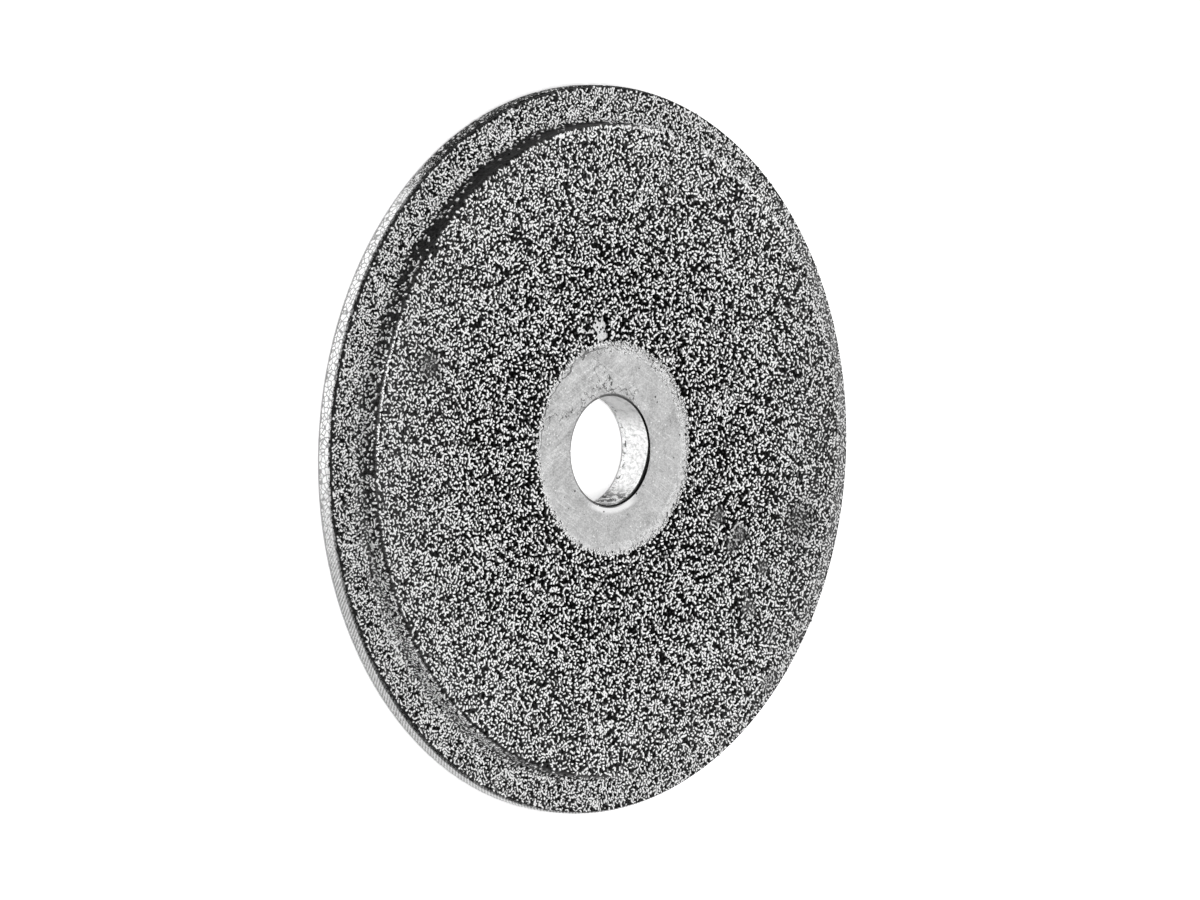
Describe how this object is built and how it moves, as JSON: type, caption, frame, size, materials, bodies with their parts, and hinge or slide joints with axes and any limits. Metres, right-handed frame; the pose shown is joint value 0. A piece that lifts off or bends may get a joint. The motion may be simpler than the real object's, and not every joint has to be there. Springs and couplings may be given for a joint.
{
  "type": "tungsten grinding disc",
  "caption": "Top-hat shaped steel disc with a diamond-plated front, a bare round land and a plain bore, for grinding tungsten electrodes.",
  "frame": {"origin": "centre of the plain back face, on the bore's axis", "axes": "+Z along the bore's axis, out of the plated front; +X and +Y are free, and the flaked spot in the plating lies 101 degrees from +X towards +Y"},
  "size_m": [0.04, 0.04, 0.0023],
  "materials": {
    "steel": "satin",
    "diamond_grit": "matte"
  },
  "bodies": {
    "root": {"disc_body": "steel", "diamond_layer": "diamond_grit"}
  },
  "joints": []
}
